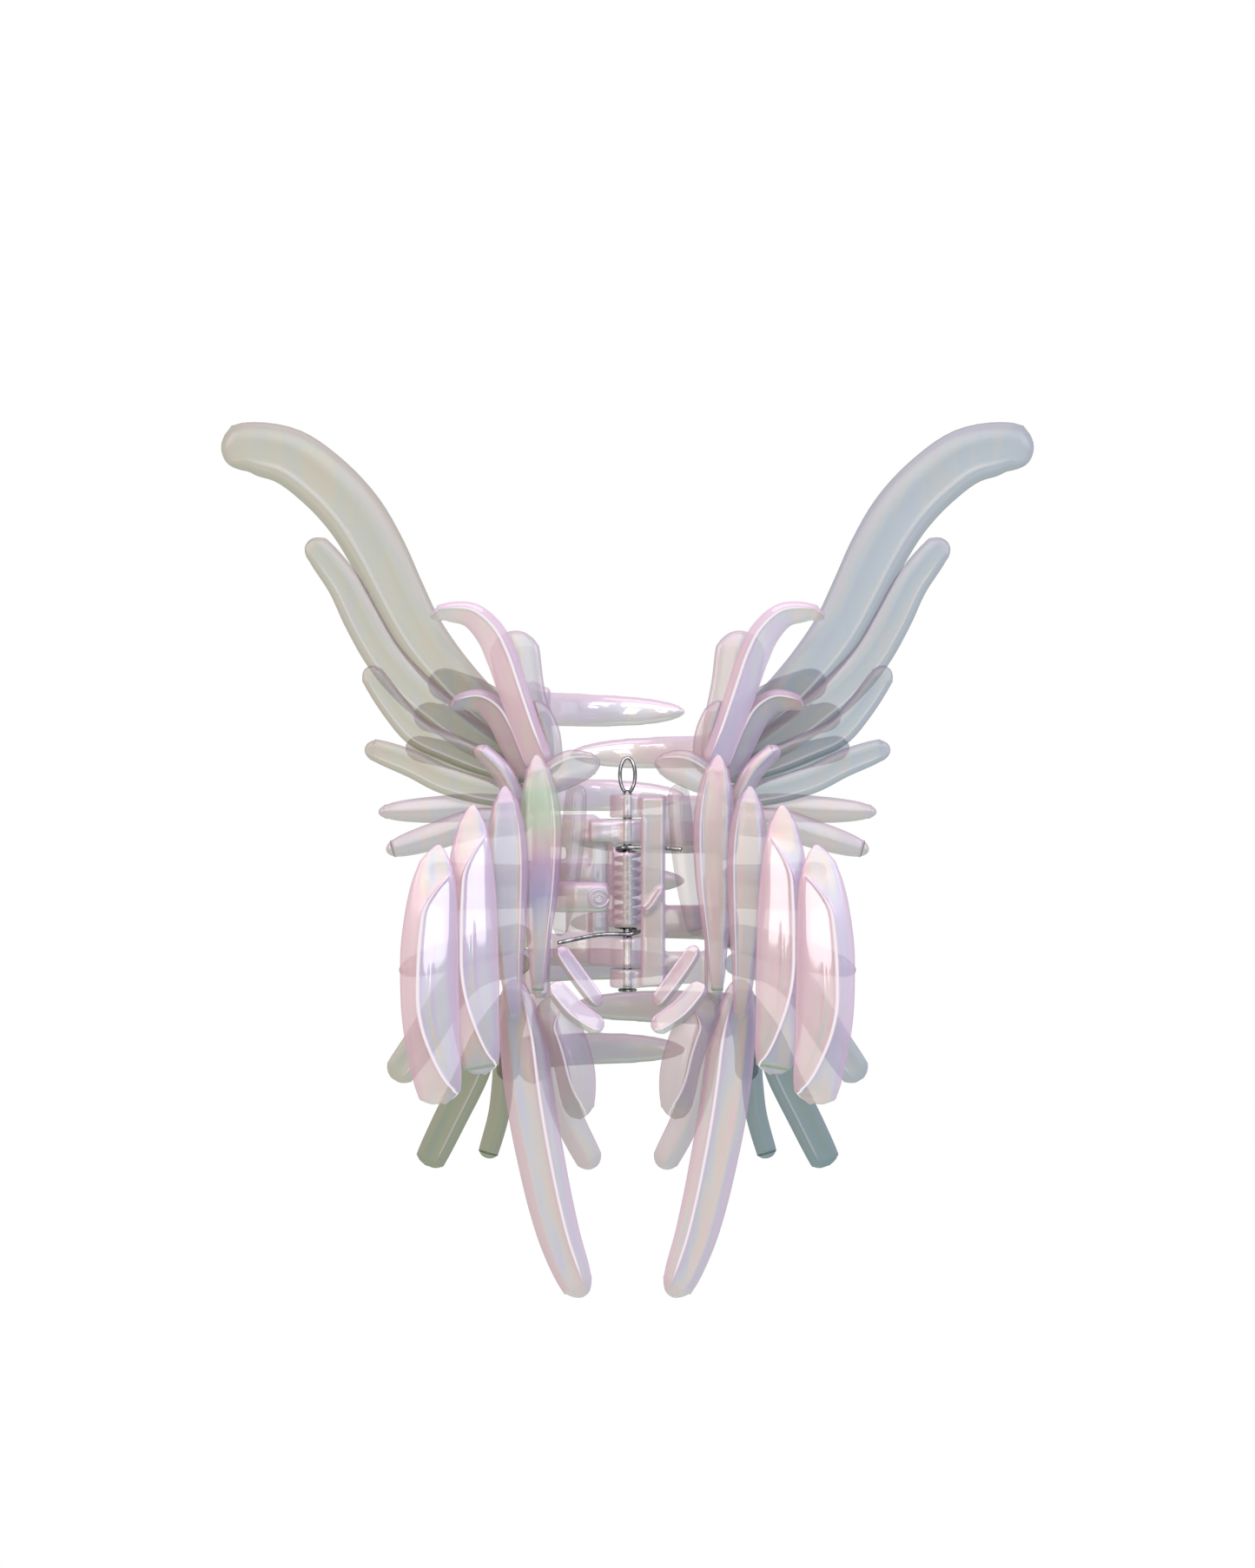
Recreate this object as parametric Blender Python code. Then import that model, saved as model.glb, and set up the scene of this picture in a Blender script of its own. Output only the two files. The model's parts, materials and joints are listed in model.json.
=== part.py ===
"""Fairy-wing hair claw: two winged jaws that turn on one spring-loaded hinge pin.

Frame: millimetres below are scaled to metres at the end. The origin is the centre of the hinge pin's
flat foot, +Z runs up the pin, +Y points away from the viewer into the gathered hair, and +X is the
viewer's right. Every sub-part of a wing is laid out once, with x measured outwards from the middle
plane, and built for both sides.
"""

import math

import bmesh
import bpy
from mathutils import Vector

MM = 0.001

# ---- driving dimensions, in millimetres ----
PIN_RADIUS = 0.8
PIN_FOOT_RADIUS = 1.7
PIN_FOOT_THICKNESS = 0.5
EYE_WIRE_RADIUS = 0.36
EYE_HALF_WIDTH = 1.45
EYE_HALF_HEIGHT = 3.3

EAR_RADIUS = 3.4
EAR_BORE_RADIUS = PIN_RADIUS + 0.08
OUTER_EARS = ((0.8, 4.4), (33.4, 37.8))  # right jaw, low and high z of each
INNER_EARS = ((4.7, 10.4), (28.4, 33.1))  # left jaw, between the right jaw's pair

SPRING_COIL_RADIUS = 2.25
SPRING_WIRE_RADIUS = 0.4
SPRING_TURNS = 9
SPRING_LOWER_LEG = ((-13.2, -6.2, 9.7), (-12.7, -6.1, 9.8), (-7.0, -4.7, 10.9), (-4.0, -3.75, 11.2))
SPRING_UPPER_LEG = ((5.0, -3.0, 0.0), (7.2, -3.5, 0.1), (9.9, -4.2, 0.3), (10.4, -4.35, 0.35))  # x, y, drop
SPRING_Z = (INNER_EARS[0][1] + 0.7, INNER_EARS[1][0] - 0.7)

TOOTH_TOP_Z = 55.8
TOOTH_PITCH = 8.85  # between neighbouring teeth, which belong to the two jaws in turn
TOOTH_DROOP = 0.9
TOOTH_COUNT = 9
TOOTH_HEIGHT = 9.4
TOOTH_THICKNESS = 3.2

LEFT_ARM_Z = (30.7, 22.1, 7.6)
RIGHT_ARM_Z = (34.4, 31.0, 13.2, 4.2)
ROOT_PLATE_X = (15.3, 17.7)  # the upright plate that the feathers are bonded to
ROOT_PLATE_OUTLINE = (
    (-4.5, -1.0), (9.4, -1.0), (9.4, 50.0), (4.4, 48.0), (4.4, 40.2), (-7.0, 40.2), (-7.0, 10.5),
    (-4.5, 9.0))
LEVER_PLAN = ((14.8, -2.8), (17.2, -6.6), (21.5, -10.0), (28.6, -13.9), (35.9, -17.6))
LEVER_Z = 20.0
LEVER_HEIGHT = 7.4
# x, front y and back y of the pad behind each finger blade
LEVER_PADS = ((17.6, -9.9, -6.6), (22.0, -13.2, -9.8), (28.4, -16.7, -13.4), (35.5, -19.9, -16.6))

# Right jaw: a cover plate beside the spring with a curved rib. Left jaw: a sleeve, a front arm and a web.
COVER_Y = (-5.1, -4.2)
COVER_X = (2.5, 7.2)
COVER_Z = (1.2, 37.4)
COVER_RIB = ((2.9, -5.1, 15.4), (4.5, -5.3, 16.6), (6.7, -5.2, 20.0))
SLEEVE_RADII = (3.0, 3.8)
# begin and end in degrees from +X towards +Y, low and high z; the spring's upper leg passes over the second
SLEEVE_PARTS = ((140, 226, 12.4, 28.8), (222, 345, 12.4, 26.8))
HINGE_WEB = ((3.5, 4.2), (12.0, 4.5), (12.0, 5.5), (3.8, 5.3))
HINGE_WEB_Z = (5.4, 32.6)
EAR_BLOCK = ((1.6, -3.1), (7.4, -3.3), (7.4, -0.9), (2.4, -1.0))
FRONT_ARM_PLAN = ((15.6, -3.0), (11.6, -5.0), (7.6, -5.2), (3.3, -4.7))
FRONT_ARM_Z = 18.4

# ---- plan curves (outward x, y) shared by both jaws ----
TOOTH_PLAN = (
    (16.9, 10.2), (19.6, 16.0), (20.6, 24.0), (18.4, 32.0), (12.5, 38.0), (4.5, 41.4),
    (-4.5, 42.2), (-12.6, 40.8))
ARM_PLAN = ((5.4, 4.2), (10.5, 4.6), (16.5, 6.4))

# ---- cross-sections of a blade, as (across the width, through the thickness), both from -1 to 1 ----
# The first five run over the front from the outer edge to the inner edge, the last three over the back.
SPOON = (
    (1.0, 0.0), (0.74, 0.95), (0.0, 0.45), (-0.74, 0.95), (-1.0, 0.0), (-0.62, -0.72),
    (0.0, -0.9), (0.62, -0.72))
LENS = (
    (1.0, 0.0), (0.62, 0.78), (0.0, 1.0), (-0.62, 0.78), (-1.0, 0.0), (-0.62, -0.72), (0.0, -0.9),
    (0.62, -0.72))
ROOF = (
    (1.0, -0.1), (0.36, 1.0), (-0.22, 0.72), (-0.78, 0.42), (-1.0, -0.1), (-0.6, -0.62),
    (0.0, -0.75), (0.6, -0.62))
PANEL = (
    (1.0, 0.0), (0.56, 0.95), (0.05, 0.82), (-0.42, 0.95), (-1.0, 0.0), (-0.6, -0.7),
    (0.0, -0.85), (0.6, -0.7))
# The oval of a tooth, an arm or the lever, as (through the thickness, up).
OVAL = (
    (1, 0.3), (0.86, 0.66), (0.5, 0.92), (0, 1), (-0.5, 0.92), (-0.86, 0.66), (-1, 0.3),
    (-1, -0.3), (-0.86, -0.66), (-0.5, -0.92), (0, -1), (0.5, -0.92), (0.86, -0.66), (1, -0.3))

# ---- the feathers of one wing ----
# name: (section, thickness, y, rounding length at base and tip, spine from base to tip)
# A spine point is (outward x, z, width), laid out in the plane of the pin as a viewer sees it.
# carry() moves it along the line of sight to the feather's own y, so the layers stay in register.
VIEW_DISTANCE = 450.0
VIEW_CENTRE_Z = 39.8
FEATHERS = {
    "primary_1": (SPOON, 3.2, 7.8, 4.0, 4.8, (
        (20.2, 48.0, 6.5), (30.4, 57.0, 8.4), (38.8, 66.8, 9.6), (43.6, 75.3, 10.4), (48.6, 85.3, 11.2),
        (53.6, 93.0, 11.4), (60.3, 99.5, 11.2), (67.4, 103.8, 10.8), (72.9, 104.4, 9.8), (77.6, 102.6, 8.4))),
    "primary_2": (SPOON, 2.2, 4.5, 3.0, 3.0, (
        (19.2, 44.4, 5.0), (27.0, 47.2, 6.6), (40.1, 57.0, 7.6), (47.8, 65.7, 7.2), (52.1, 73.8, 7.0),
        (56.5, 81.6, 6.0), (61.3, 86.4, 5.0))),
    "primary_3": (SPOON, 2.0, 2.1, 3.0, 2.6, (
        (18.4, 41.6, 4.6), (27.0, 43.9, 5.4), (37.4, 48.2, 5.7), (41.6, 50.8, 5.6), (46.4, 56.8, 5.0),
        (50.0, 62.2, 4.2))),
    "primary_4": (SPOON, 1.8, -0.2, 3.0, 2.4, (
        (18.3, 37.0, 4.6), (32.1, 39.5, 5.4), (42.1, 44.0, 5.2), (46.3, 45.7, 4.6), (50.4, 46.7, 3.8))),
    "primary_5": (LENS, 2.0, 2.1, 3.0, 1.8, (
        (18.4, 35.0, 4.4), (28.7, 35.3, 5.4), (38.7, 34.8, 4.9), (43.0, 34.7, 3.6), (47.8, 34.4, 2.2))),
    "primary_6": (LENS, 1.8, -0.2, 3.0, 2.0, (
        (18.3, 32.4, 4.4), (28.7, 32.2, 5.8), (37.9, 29.5, 5.2), (42.1, 28.2, 4.2), (46.3, 27.0, 2.8))),
    "secondary_1": (LENS, 1.8, -0.2, 3.0, 2.2, (
        (18.3, 22.5, 3.6), (28.0, 22.2, 4.4), (38.2, 23.1, 3.8))),
    "secondary_2": (LENS, 2.0, 2.1, 3.0, 4.0, (
        (18.4, 11.0, 5.0), (30.0, 8.0, 6.0), (43.8, 3.8, 3.6))),
    "secondary_3": (PANEL, 1.8, -0.2, 3.0, 2.4, (
        (18.6, 5.4, 4.4), (26.5, 4.6, 5.6), (32.4, 1.4, 6.4), (37.0, -5.5, 6.5), (41.3, -12.2, 6.3),
        (44.9, -16.9, 5.6))),
    "tail_1": (PANEL, 2.0, 5.8, 3.0, 1.8, (
        (20.6, 0.0, 5.0), (26.3, -8.0, 6.0), (30.4, -17.2, 6.4), (33.8, -24.0, 6.3), (36.3, -29.0, 6.0),
        (38.4, -33.5, 5.6))),
    "tail_2": (LENS, 1.8, 3.3, 3.0, 1.6, (
        (20.4, -1.6, 3.6), (23.0, -7.0, 4.0), (23.8, -14.7, 4.1), (24.4, -22.2, 4.1), (27.0, -32.0, 3.8))),
    "tail_3": (LENS, 1.8, 1.0, 3.0, 2.2, (
        (20.6, -2.0, 4.2), (22.6, -9.0, 4.6), (22.9, -17.2, 4.4))),
    "tail_4": (PANEL, 2.8, -1.9, 4.0, 3.5, (
        (21.7, 2.4, 5.0), (21.3, -2.0, 6.2), (20.0, -9.7, 9.2), (18.8, -19.7, 9.4), (17.4, -28.0, 9.2),
        (15.4, -38.0, 8.8), (13.3, -46.3, 8.2), (10.8, -53.8, 7.0), (8.2, -58.5, 5.2))),
    "tail_5": (LENS, 1.8, 3.3, 3.0, 2.6, (
        (16.6, -2.6, 4.6), (14.6, -12.0, 5.4), (13.0, -19.7, 5.7), (10.0, -27.2, 5.6), (6.4, -33.9, 5.0))),
    "tail_6": (ROOF, 2.4, -5.4, 3.0, 3.2, (
        (15.8, -1.2, 5.6), (13.4, -5.8, 7.4), (11.0, -11.6, 7.8), (9.6, -18.0, 7.2), (9.5, -24.5, 5.2))),
    "inner_1": (LENS, 1.5, -5.6, 2.0, 1.8, (
        (13.2, 8.7, 2.8), (11.3, 5.3, 3.3), (8.4, 1.5, 3.4), (5.3, -2.8, 3.0))),
    "inner_2": (LENS, 1.5, -7.6, 2.0, 2.0, (
        (14.6, 1.6, 3.6), (11.3, -2.5, 4.2), (8.4, -5.0, 4.2), (4.7, -7.2, 3.8))),
    "crest_1": (LENS, 2.2, -0.5, 3.0, 4.2, (
        (16.8, 41.6, 5.4), (18.0, 48.7, 7.6), (20.2, 57.0, 8.8), (21.3, 62.8, 9.8), (22.0, 69.2, 8.6))),
    "crest_2": (LENS, 1.9, -2.9, 2.5, 3.0, (
        (15.2, 41.6, 5.0), (15.7, 46.6, 6.6), (16.6, 51.4, 5.8), (17.8, 55.8, 3.6))),
    "curl_1": (ROOF, 2.5, -5.8, 3.0, 2.6, (
        (16.2, 42.4, 5.2), (18.1, 47.0, 5.4), (20.1, 52.3, 5.6), (21.8, 57.5, 5.8), (23.3, 61.7, 6.0),
        (24.8, 65.9, 6.0), (27.0, 69.6, 5.6), (30.2, 72.3, 4.8), (34.0, 73.0, 3.8), (37.8, 71.8, 2.2))),
    "curl_2": (ROOF, 1.8, -2.9, 3.0, 2.0, (
        (19.6, 41.2, 3.6), (22.0, 47.0, 4.6), (23.6, 50.7, 5.0), (25.5, 53.8, 5.0), (28.0, 55.6, 4.6),
        (31.2, 55.8, 3.8), (33.8, 54.3, 2.2))),
    "curl_3": (LENS, 1.6, -5.2, 2.5, 2.0, (
        (20.8, 35.0, 3.2), (22.6, 39.4, 3.8), (25.4, 43.8, 4.0), (29.2, 46.8, 3.0))),
    "covert_1": (ROOF, 3.2, -21.5, 5.0, 2.4, (
        (36.2, 28.2, 3.4), (36.8, 24.0, 6.6), (37.4, 18.0, 9.4), (37.9, 10.0, 11.0), (38.0, 2.0, 11.4),
        (37.7, -6.0, 11.0), (37.0, -13.0, 10.0), (36.2, -18.6, 8.6), (35.6, -21.6, 7.0))),
    "covert_2": (ROOF, 3.0, -18.6, 5.0, 2.2, (
        (29.7, 35.8, 3.0), (29.8, 31.0, 5.8), (30.0, 25.0, 8.4), (30.0, 17.0, 10.0), (29.9, 9.0, 10.4),
        (29.6, 1.0, 10.0), (29.1, -6.0, 9.0), (28.4, -12.0, 7.6), (27.8, -15.9, 6.2))),
    "covert_3": (ROOF, 2.8, -14.6, 4.5, 2.0, (
        (23.6, 39.4, 2.8), (23.3, 34.6, 5.6), (23.1, 28.0, 7.8), (23.0, 20.0, 7.8), (22.8, 12.0, 6.8),
        (22.3, 4.0, 5.6), (21.6, -5.8, 4.2))),
    "covert_4": (ROOF, 2.6, -11.4, 4.0, 2.0, (
        (17.5, 45.4, 2.8), (17.0, 40.0, 5.8), (16.7, 34.0, 7.8), (16.5, 27.0, 7.8), (16.7, 19.0, 7.0),
        (17.0, 11.0, 5.8), (17.2, 4.0, 4.8), (17.2, -0.8, 3.8))),
    "lever_petal": (SPOON, 1.8, -8.8, 2.5, 1.8, (
        (16.4, 38.6, 5.0), (14.2, 41.2, 6.8), (11.4, 42.7, 7.0), (8.4, 43.4, 5.6), (5.2, 44.0, 2.6))),
    "lever_blade": (LENS, 1.4, -2.2, 2.5, 2.0, (
        (9.6, 39.8, 3.8), (10.3, 33.0, 4.6), (10.6, 28.0, 4.6), (11.3, 21.6, 4.2), (12.4, 14.6, 3.4),
        (13.2, 10.6, 2.4))),
}

# Three round lobes moulded on each jaw behind the feathers, in the same form.
SHOULDER_LOBES = (
    (LENS, 2.4, 11.4, 3.0, 3.4, ((16.6, 48.6, 6.0), (26.0, 55.4, 7.0), (38.2, 60.0, 6.8))),
    (LENS, 2.4, 11.4, 3.0, 3.2, ((16.6, 43.0, 5.6), (27.0, 49.6, 6.2), (41.0, 53.4, 6.2))),
    (LENS, 2.4, 11.4, 3.0, 3.0, ((16.6, 37.0, 5.0), (28.0, 43.6, 5.6), (42.6, 47.2, 5.4))),
)

# ---- finishes: linear RGBA colour, roughness, metallic ----
PEARL_WARM = ((0.72, 0.68, 0.62, 1.0), 0.18, 0.0)
PEARL_COOL = ((0.62, 0.68, 0.75, 1.0), 0.18, 0.0)
STEEL = ((0.62, 0.62, 0.64, 1.0), 0.25, 1.0)


def clear_scene():
    for obj in list(bpy.data.objects):
        bpy.data.objects.remove(obj, do_unlink=True)


def material(name, finish):
    """A Principled material of the part's own."""
    colour, roughness, metallic = finish
    made = bpy.data.materials.new(name)
    made.use_nodes = True
    shader = made.node_tree.nodes["Principled BSDF"]
    shader.inputs["Base Color"].default_value = colour
    shader.inputs["Roughness"].default_value = roughness
    shader.inputs["Metallic"].default_value = metallic
    return made


def pearl(side):
    return PEARL_WARM if side < 0 else PEARL_COOL


def mesh_object(name, points, faces, finish):
    """A mesh object from millimetre points; its faces are made to point out."""
    mesh = bpy.data.meshes.new(name)
    mesh.from_pydata([Vector(p) * MM for p in points], [], faces)
    work = bmesh.new()
    work.from_mesh(mesh)
    bmesh.ops.recalc_face_normals(work, faces=work.faces)
    if work.calc_volume(signed=True) < 0:
        bmesh.ops.reverse_faces(work, faces=work.faces)
    work.to_mesh(mesh)
    work.free()
    mesh.materials.append(material(name, finish))
    mesh.shade_smooth()
    obj = bpy.data.objects.new(name, mesh)
    bpy.context.scene.collection.objects.link(obj)
    return obj


# ---- curves and lofts ----
def spline(points, t, flat=False):
    """The point at share t of a smooth curve through the points; flat measures length in x and z."""
    pts = [Vector(p) for p in points]
    if len(pts) == 2:
        return pts[0].lerp(pts[1], t)
    ends = [pts[0] * 2 - pts[1]] + pts + [pts[-1] * 2 - pts[-2]]
    lengths = [max(1e-6, (b - a).xy.length if flat else (b - a).length) for a, b in zip(pts, pts[1:])]
    left = t * sum(lengths)
    i = 0
    while i < len(lengths) - 1 and left > lengths[i]:
        left -= lengths[i]
        i += 1
    u = left / lengths[i]
    a, b, c, d = ends[i : i + 4]
    return 0.5 * (2 * b + (c - a) * u + (2 * a - 5 * b + 4 * c - d) * u**2 + (3 * b - a - 3 * c + d) * u**3)


def tangent(points, t):
    step = 0.004
    return (spline(points, min(1, t + step)) - spline(points, max(0, t - step))).normalized()


def loft(rings, start, end):
    """Points and faces of a closed tube through the rings, with a pole at each end."""
    count = len(rings[0])
    points = [p for ring in rings for p in ring] + [start, end]
    faces = []
    for i in range(len(rings) - 1):
        for k in range(count):
            n = (k + 1) % count
            faces.append((i * count + k, i * count + n, (i + 1) * count + n, (i + 1) * count + k))
    last = (len(rings) - 1) * count
    for k in range(count):
        n = (k + 1) % count
        faces.append((len(points) - 2, n, k))
        faces.append((len(points) - 1, last + k, last + n))
    return points, faces


def carry(x, z, y):
    """A layout point moved along the viewer's line of sight to depth y, and the scale it gains there."""
    scale = (VIEW_DISTANCE + y) / VIEW_DISTANCE
    return Vector((x * scale, y, VIEW_CENTRE_Z + (z - VIEW_CENTRE_Z) * scale)), scale


def rounding(distance, length):
    """Share of the full width at a distance from a rounded end."""
    if distance >= length:
        return 1.0
    return math.sqrt(1 - (1 - distance / length) ** 2)


def feather(name, side, section, thickness, y, base_round, tip_round, outline):
    """One blade: the section swept along the spine, rounded off at its base and tip."""
    spine = []
    for x, z, width in outline:
        point, scale = carry(x, z, y)
        spine.append((point.x, point.z, width * scale))
    length = sum(math.dist(a[:2], b[:2]) for a, b in zip(spine, spine[1:]))
    legs = [Vector(b[:2]) - Vector(a[:2]) for a, b in zip(spine, spine[1:])]
    turning = sum(b.angle(a) for a, b in zip(legs, legs[1:]))
    inner = max(2, min(9, round(length / 11 + turning * 1.8)))
    stops = [(0.12 * base_round), (0.5 * base_round)]
    stops += [base_round + (length - base_round - tip_round) * k / inner for k in range(inner + 1)]
    stops += [length - 0.62 * tip_round, length - 0.28 * tip_round, length - 0.06 * tip_round]
    widest = max(width for _, _, width in spine)
    rings = []
    for stop in stops:
        t = stop / length
        x, z, width = spline(spine, t, True)
        before, after = spline(spine, max(0, t - 0.01), True), spline(spine, min(1, t + 0.01), True)
        along = Vector((after.x - before.x, 0, after.y - before.y)).normalized()
        across = Vector((-along.z, 0, along.x))
        end = rounding(stop, base_round) * rounding(length - stop, tip_round)
        half_width = width / 2 * end
        half_thickness = thickness / 2 * (0.45 + 0.55 * width / widest) * end**0.7
        centre = Vector((x, y, z))
        front = Vector((0, -half_thickness, 0))
        rings.append([centre + across * (u * half_width) + front * v for u, v in section])
    start, stop = spine[0], spine[-1]
    points, faces = loft(rings, Vector((start[0], y, start[1])), Vector((stop[0], y, stop[1])))
    points = [(side * p[0], p[1], p[2]) for p in points]
    return mesh_object(name, points, faces, pearl(side))


# ---- solids that a Boolean union joins into a jaw ----
def prism(name, outline, low, high, axis, side, finish):
    """An outline extruded between low and high along the axis; it holds the other two coordinates."""
    order = {"X": (2, 0, 1), "Y": (0, 2, 1), "Z": (0, 1, 2)}[axis]
    points = []
    for level in (low, high):
        for a, b in outline:
            flat = (a, b, level)
            p = [flat[order[0]], flat[order[1]], flat[order[2]]]
            points.append((side * p[0], p[1], p[2]))
    n = len(outline)
    faces = [tuple(range(n)), tuple(range(n, 2 * n))]
    faces += [(i, (i + 1) % n, n + (i + 1) % n, n + i) for i in range(n)]
    return mesh_object(name, points, faces, finish)


def bevelled(obj, width, segments=1):
    bevel = obj.modifiers.new("edge", "BEVEL")
    bevel.width = width * MM
    bevel.segments = segments
    bevel.limit_method = "ANGLE"
    return obj


def disc(radius, corners):
    turns = [2 * math.pi * k / corners for k in range(corners)]
    return [(radius * math.cos(turn), radius * math.sin(turn)) for turn in turns]


def bar(name, plan, z, height, thickness, stations, side, finish, tapers):
    """A rib with an oval section that follows a plan curve at one height."""
    drop = TOOTH_DROOP if tapers else 0.0
    path = [(x, y, z - drop * k / (len(plan) - 1)) for k, (x, y) in enumerate(plan)]
    rings = []
    for i in range(1, stations):
        t = 0.5 - 0.5 * math.cos(math.pi * i / stations)
        centre, along = spline(path, t), tangent(path, t)
        out = along.cross(Vector((0, 0, 1))).normalized()
        share = 1.0
        if tapers:
            s = max(0.0, (t - 0.45) / 0.55)
            share = (1 - 0.24 * min(1, t / 0.45)) * (1 - s**3) ** 0.5
        end = 0.06
        if t < end:
            share *= math.sqrt(1 - (1 - t / end) ** 2)
        if not tapers and t > 1 - end:
            share *= math.sqrt(1 - (1 - (1 - t) / end) ** 2)
        ring = []
        half_thickness = thickness / 2 * (0.4 + 0.6 * share) * min(1, share * 3)
        for u, v in OVAL:
            ring.append(centre + out * (u * half_thickness) + Vector((0, 0, v * height / 2 * share)))
        rings.append(ring)
    points, faces = loft(rings, Vector(path[0]), Vector(path[-1]))
    points = [(side * p[0], p[1], p[2]) for p in points]
    return mesh_object(name, points, faces, finish)


def join(body, others, operation="UNION"):
    """Applies a Boolean of each other object to the body, then removes the others."""
    for other in others:
        step = body.modifiers.new("join", "BOOLEAN")
        step.operation = operation
        step.solver = "EXACT"
        step.object = other
        bpy.context.view_layer.update()
        graph = bpy.context.evaluated_depsgraph_get()
        solid = bpy.data.meshes.new_from_object(body.evaluated_get(graph))
        own = body.data.materials[0]
        body.modifiers.clear()
        body.data = solid
        solid.materials.clear()
        solid.materials.append(own)
        bpy.data.objects.remove(other, do_unlink=True)
    return body


def tooth_heights(first):
    """Heights of every second tooth, starting at the given one."""
    return [TOOTH_TOP_Z - TOOTH_PITCH * k for k in range(first, TOOTH_COUNT, 2)]


def cover_plate(side, finish):
    """The plate beside the spring, its rib, and the two blocks that hold it to the outer ears."""
    (left, right), (low, high) = COVER_X, COVER_Z
    outline = ((left, low), (right, low), (right, high), (left, high))
    pieces = [bevelled(prism("cover", outline, *COVER_Y, "Y", side, finish), 0.35)]
    for ear_low, ear_high in OUTER_EARS:
        block = ((2.7, -4.5), (6.8, -4.5), (6.8, 1.0), (1.4, -2.0))
        pieces.append(prism("cover_block", block, ear_low + 0.5, ear_high - 0.5, "Z", side, finish))
    path = [Vector((side * x, y, z)) for x, y, z in COVER_RIB]
    pieces.append(tube("cover_rib", [spline(path, k / 9) for k in range(10)], 0.6, 8, finish))
    return pieces


def spring_sleeve(side, finish):
    """The sleeve round the coil, the arm in front of it, and the block and web beside the inner ears."""
    inner, outer = SLEEVE_RADII
    pieces = [bar("front_arm", FRONT_ARM_PLAN, FRONT_ARM_Z, 6.0, 2.2, 8, side, finish, False)]
    for begin, end, low, high in SLEEVE_PARTS:
        count = round((end - begin) / 12)
        turns = [math.radians(begin + (end - begin) * k / count) for k in range(count + 1)]
        outline = [(-inner * math.cos(turn), inner * math.sin(turn)) for turn in turns]
        outline += [(-outer * math.cos(turn), outer * math.sin(turn)) for turn in reversed(turns)]
        pieces.append(prism("sleeve", outline, low, high, "Z", side, finish))
    low, high = INNER_EARS[1]
    pieces.append(bevelled(prism("ear_block", EAR_BLOCK, low + 0.2, high - 0.2, "Z", side, finish), 0.5))
    pieces.append(bevelled(prism("hinge_web", HINGE_WEB, *HINGE_WEB_Z, "Z", side, finish), 0.3))
    return pieces


def jaw(name, side, ears, teeth, arm_heights):
    """Root plate, stringer, teeth, arms, hinge ears and finger lever, joined into one moulding."""
    finish = pearl(side)
    body = bevelled(prism(name, ROOT_PLATE_OUTLINE, *ROOT_PLATE_X, "X", side, finish), 0.5)
    low, high = teeth[-1] - 3.0, teeth[0] + 3.0
    stringer = ((15.0, 8.2), (18.6, 8.2), (18.8, 11.6), (15.4, 11.8))
    others = [bevelled(prism("stringer", stringer, low, high, "Z", side, finish), 0.6)]
    for z in teeth:
        others.append(bar("tooth", TOOTH_PLAN, z, TOOTH_HEIGHT, TOOTH_THICKNESS, 18, side, finish, True))
    for z in arm_heights:
        others.append(bar("arm", ARM_PLAN, z, 6.4, 2.6, 7, side, finish, False))
    hinge_edge = ((3.7, 3.3), (7.1, 3.0), (7.1, 5.3), (3.9, 5.5))
    ear_low, ear_high = ears[0][0], ears[-1][1]
    others.append(prism("hinge_edge", hinge_edge, ear_low + 0.4, ear_high - 0.4, "Z", side, finish))
    for low_z, high_z in ears:
        others.append(prism("ear", disc(EAR_RADIUS, 20), low_z, high_z, "Z", side, finish))
        web = ((0.2, -2.2), (3.2, -1.4), (7.3, 1.4), (7.0, 5.1), (3.8, 5.2), (-0.4, 2.6))
        others.append(prism("ear_web", web, low_z + 0.05, high_z - 0.05, "Z", side, finish))
    others.append(bar("lever", LEVER_PLAN, LEVER_Z, LEVER_HEIGHT, 2.4, 9, side, finish, False))
    for x, front, back in LEVER_PADS:
        pad = ((x - 1.8, back), (x - 1.5, front), (x + 1.5, front), (x + 1.8, back))
        others.append(prism("pad", pad, LEVER_Z - 2.2, LEVER_Z + 2.2, "Z", side, finish))
    for lobe in SHOULDER_LOBES:
        others.append(feather("lobe", side, *lobe))
    others += cover_plate(side, finish) if side > 0 else spring_sleeve(side, finish)
    join(body, others)
    bores = []
    for low_z, high_z in ears:
        bores.append(prism("bore", disc(EAR_BORE_RADIUS, 16), low_z - 1, high_z + 1, "Z", side, finish))
    join(body, bores, "DIFFERENCE")
    body.data.shade_smooth()
    body.data.set_sharp_from_angle(angle=math.radians(40))
    return body


def tube(name, path, radius, sides, finish):
    """A round wire along a list of points."""
    points = [Vector(p) for p in path]
    rings = []
    normal = Vector((0, 0, 1))
    for i, p in enumerate(points[1:-1], start=1):
        along = (points[i + 1] - points[i - 1]).normalized()
        normal = (normal - along * normal.dot(along)).normalized()
        beside = along.cross(normal)
        rings.append([p + normal * u + beside * v for u, v in disc(radius, sides)])
    solid_points, faces = loft(rings, points[0], points[-1])
    return mesh_object(name, solid_points, faces, finish)


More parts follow.
